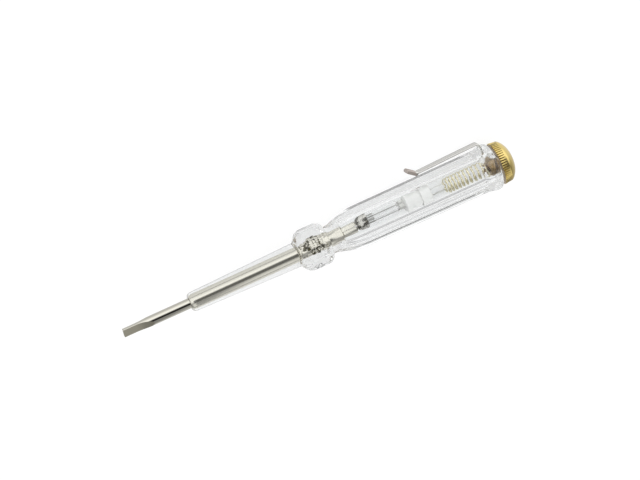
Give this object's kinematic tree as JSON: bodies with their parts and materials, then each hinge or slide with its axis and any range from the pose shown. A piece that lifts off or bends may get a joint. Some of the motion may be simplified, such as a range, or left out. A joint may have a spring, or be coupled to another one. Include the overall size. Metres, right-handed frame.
{
  "type": "voltage tester screwdriver",
  "caption": "Slotted mains tester screwdriver with a clear eight-sided handle, glow lamp, resistor, contact spring, ribbed brass screw cap and pocket clip.",
  "frame": {"origin": "centre of the blade's end face, on the tool's axis", "axes": "+X runs along the tool from the blade's tip to the screw cap, and +Y points from the axis to the pocket clip, so the tool lies on its side on a flat of the grip's eight"},
  "size_m": [0.14, 0.0189, 0.016],
  "materials": {
    "plated_steel": "nickel-plated steel rod, polished, with faint drawing lines",
    "clear_plastic": "clear moulded cellulose acetate, glossy and colourless",
    "tinned_metal": "tinned, pressed and slightly dull",
    "lamp_glass": "thin clear drawn glass",
    "electrode_metal": "light grey drawn nickel wire",
    "ceramic": "off-white lacquered ceramic rod",
    "spring_brass": "drawn brass spring wire",
    "brass": "turned and polished brass, lightly tarnished between the ribs",
    "clip_metal": "nickel-plated spring strip with rolled grain along it"
  },
  "bodies": {
    "handle": {"handle": "clear_plastic", "blade": "plated_steel", "lamp_nose_cap": "tinned_metal", "lamp_glass": "lamp_glass", "front_electrode": "electrode_metal", "rear_electrode": "electrode_metal", "lamp_rear_contact": "tinned_metal", "resistor_front_cap": "ceramic", "resistor_rod": "ceramic", "resistor_rear_cap": "tinned_metal", "resistor_lead": "tinned_metal", "clip_foot": "clip_metal"},
    "clip": {"clip_arm": "clip_metal"},
    "spring": {"contact_spring": "spring_brass"},
    "cap": {"screw_cap": "brass"}
  },
  "joints": [
    {"name": "clip_flex", "type": "hinge", "parent": "handle", "child": "clip", "pos_m": [0.1313, 0.00735, 0], "axis": [0, 0, -1], "range_deg": [0, 7], "stiffness_Nm_per_rad": 0.35},
    {"name": "cap_draw", "type": "slide", "parent": "handle", "child": "spring", "axis": [1, 0, 0], "range_m": [0, 0.00251]},
    {"name": "cap_turn", "type": "hinge", "parent": "spring", "child": "cap", "pos_m": [0.1347, 0, 0], "axis": [1, 0, 0], "range_deg": [0, 900]}
  ],
  "couplings": [
    {"joint": "cap_draw", "follows": "cap_turn", "m_per_rad": 0.00015915}
  ]
}
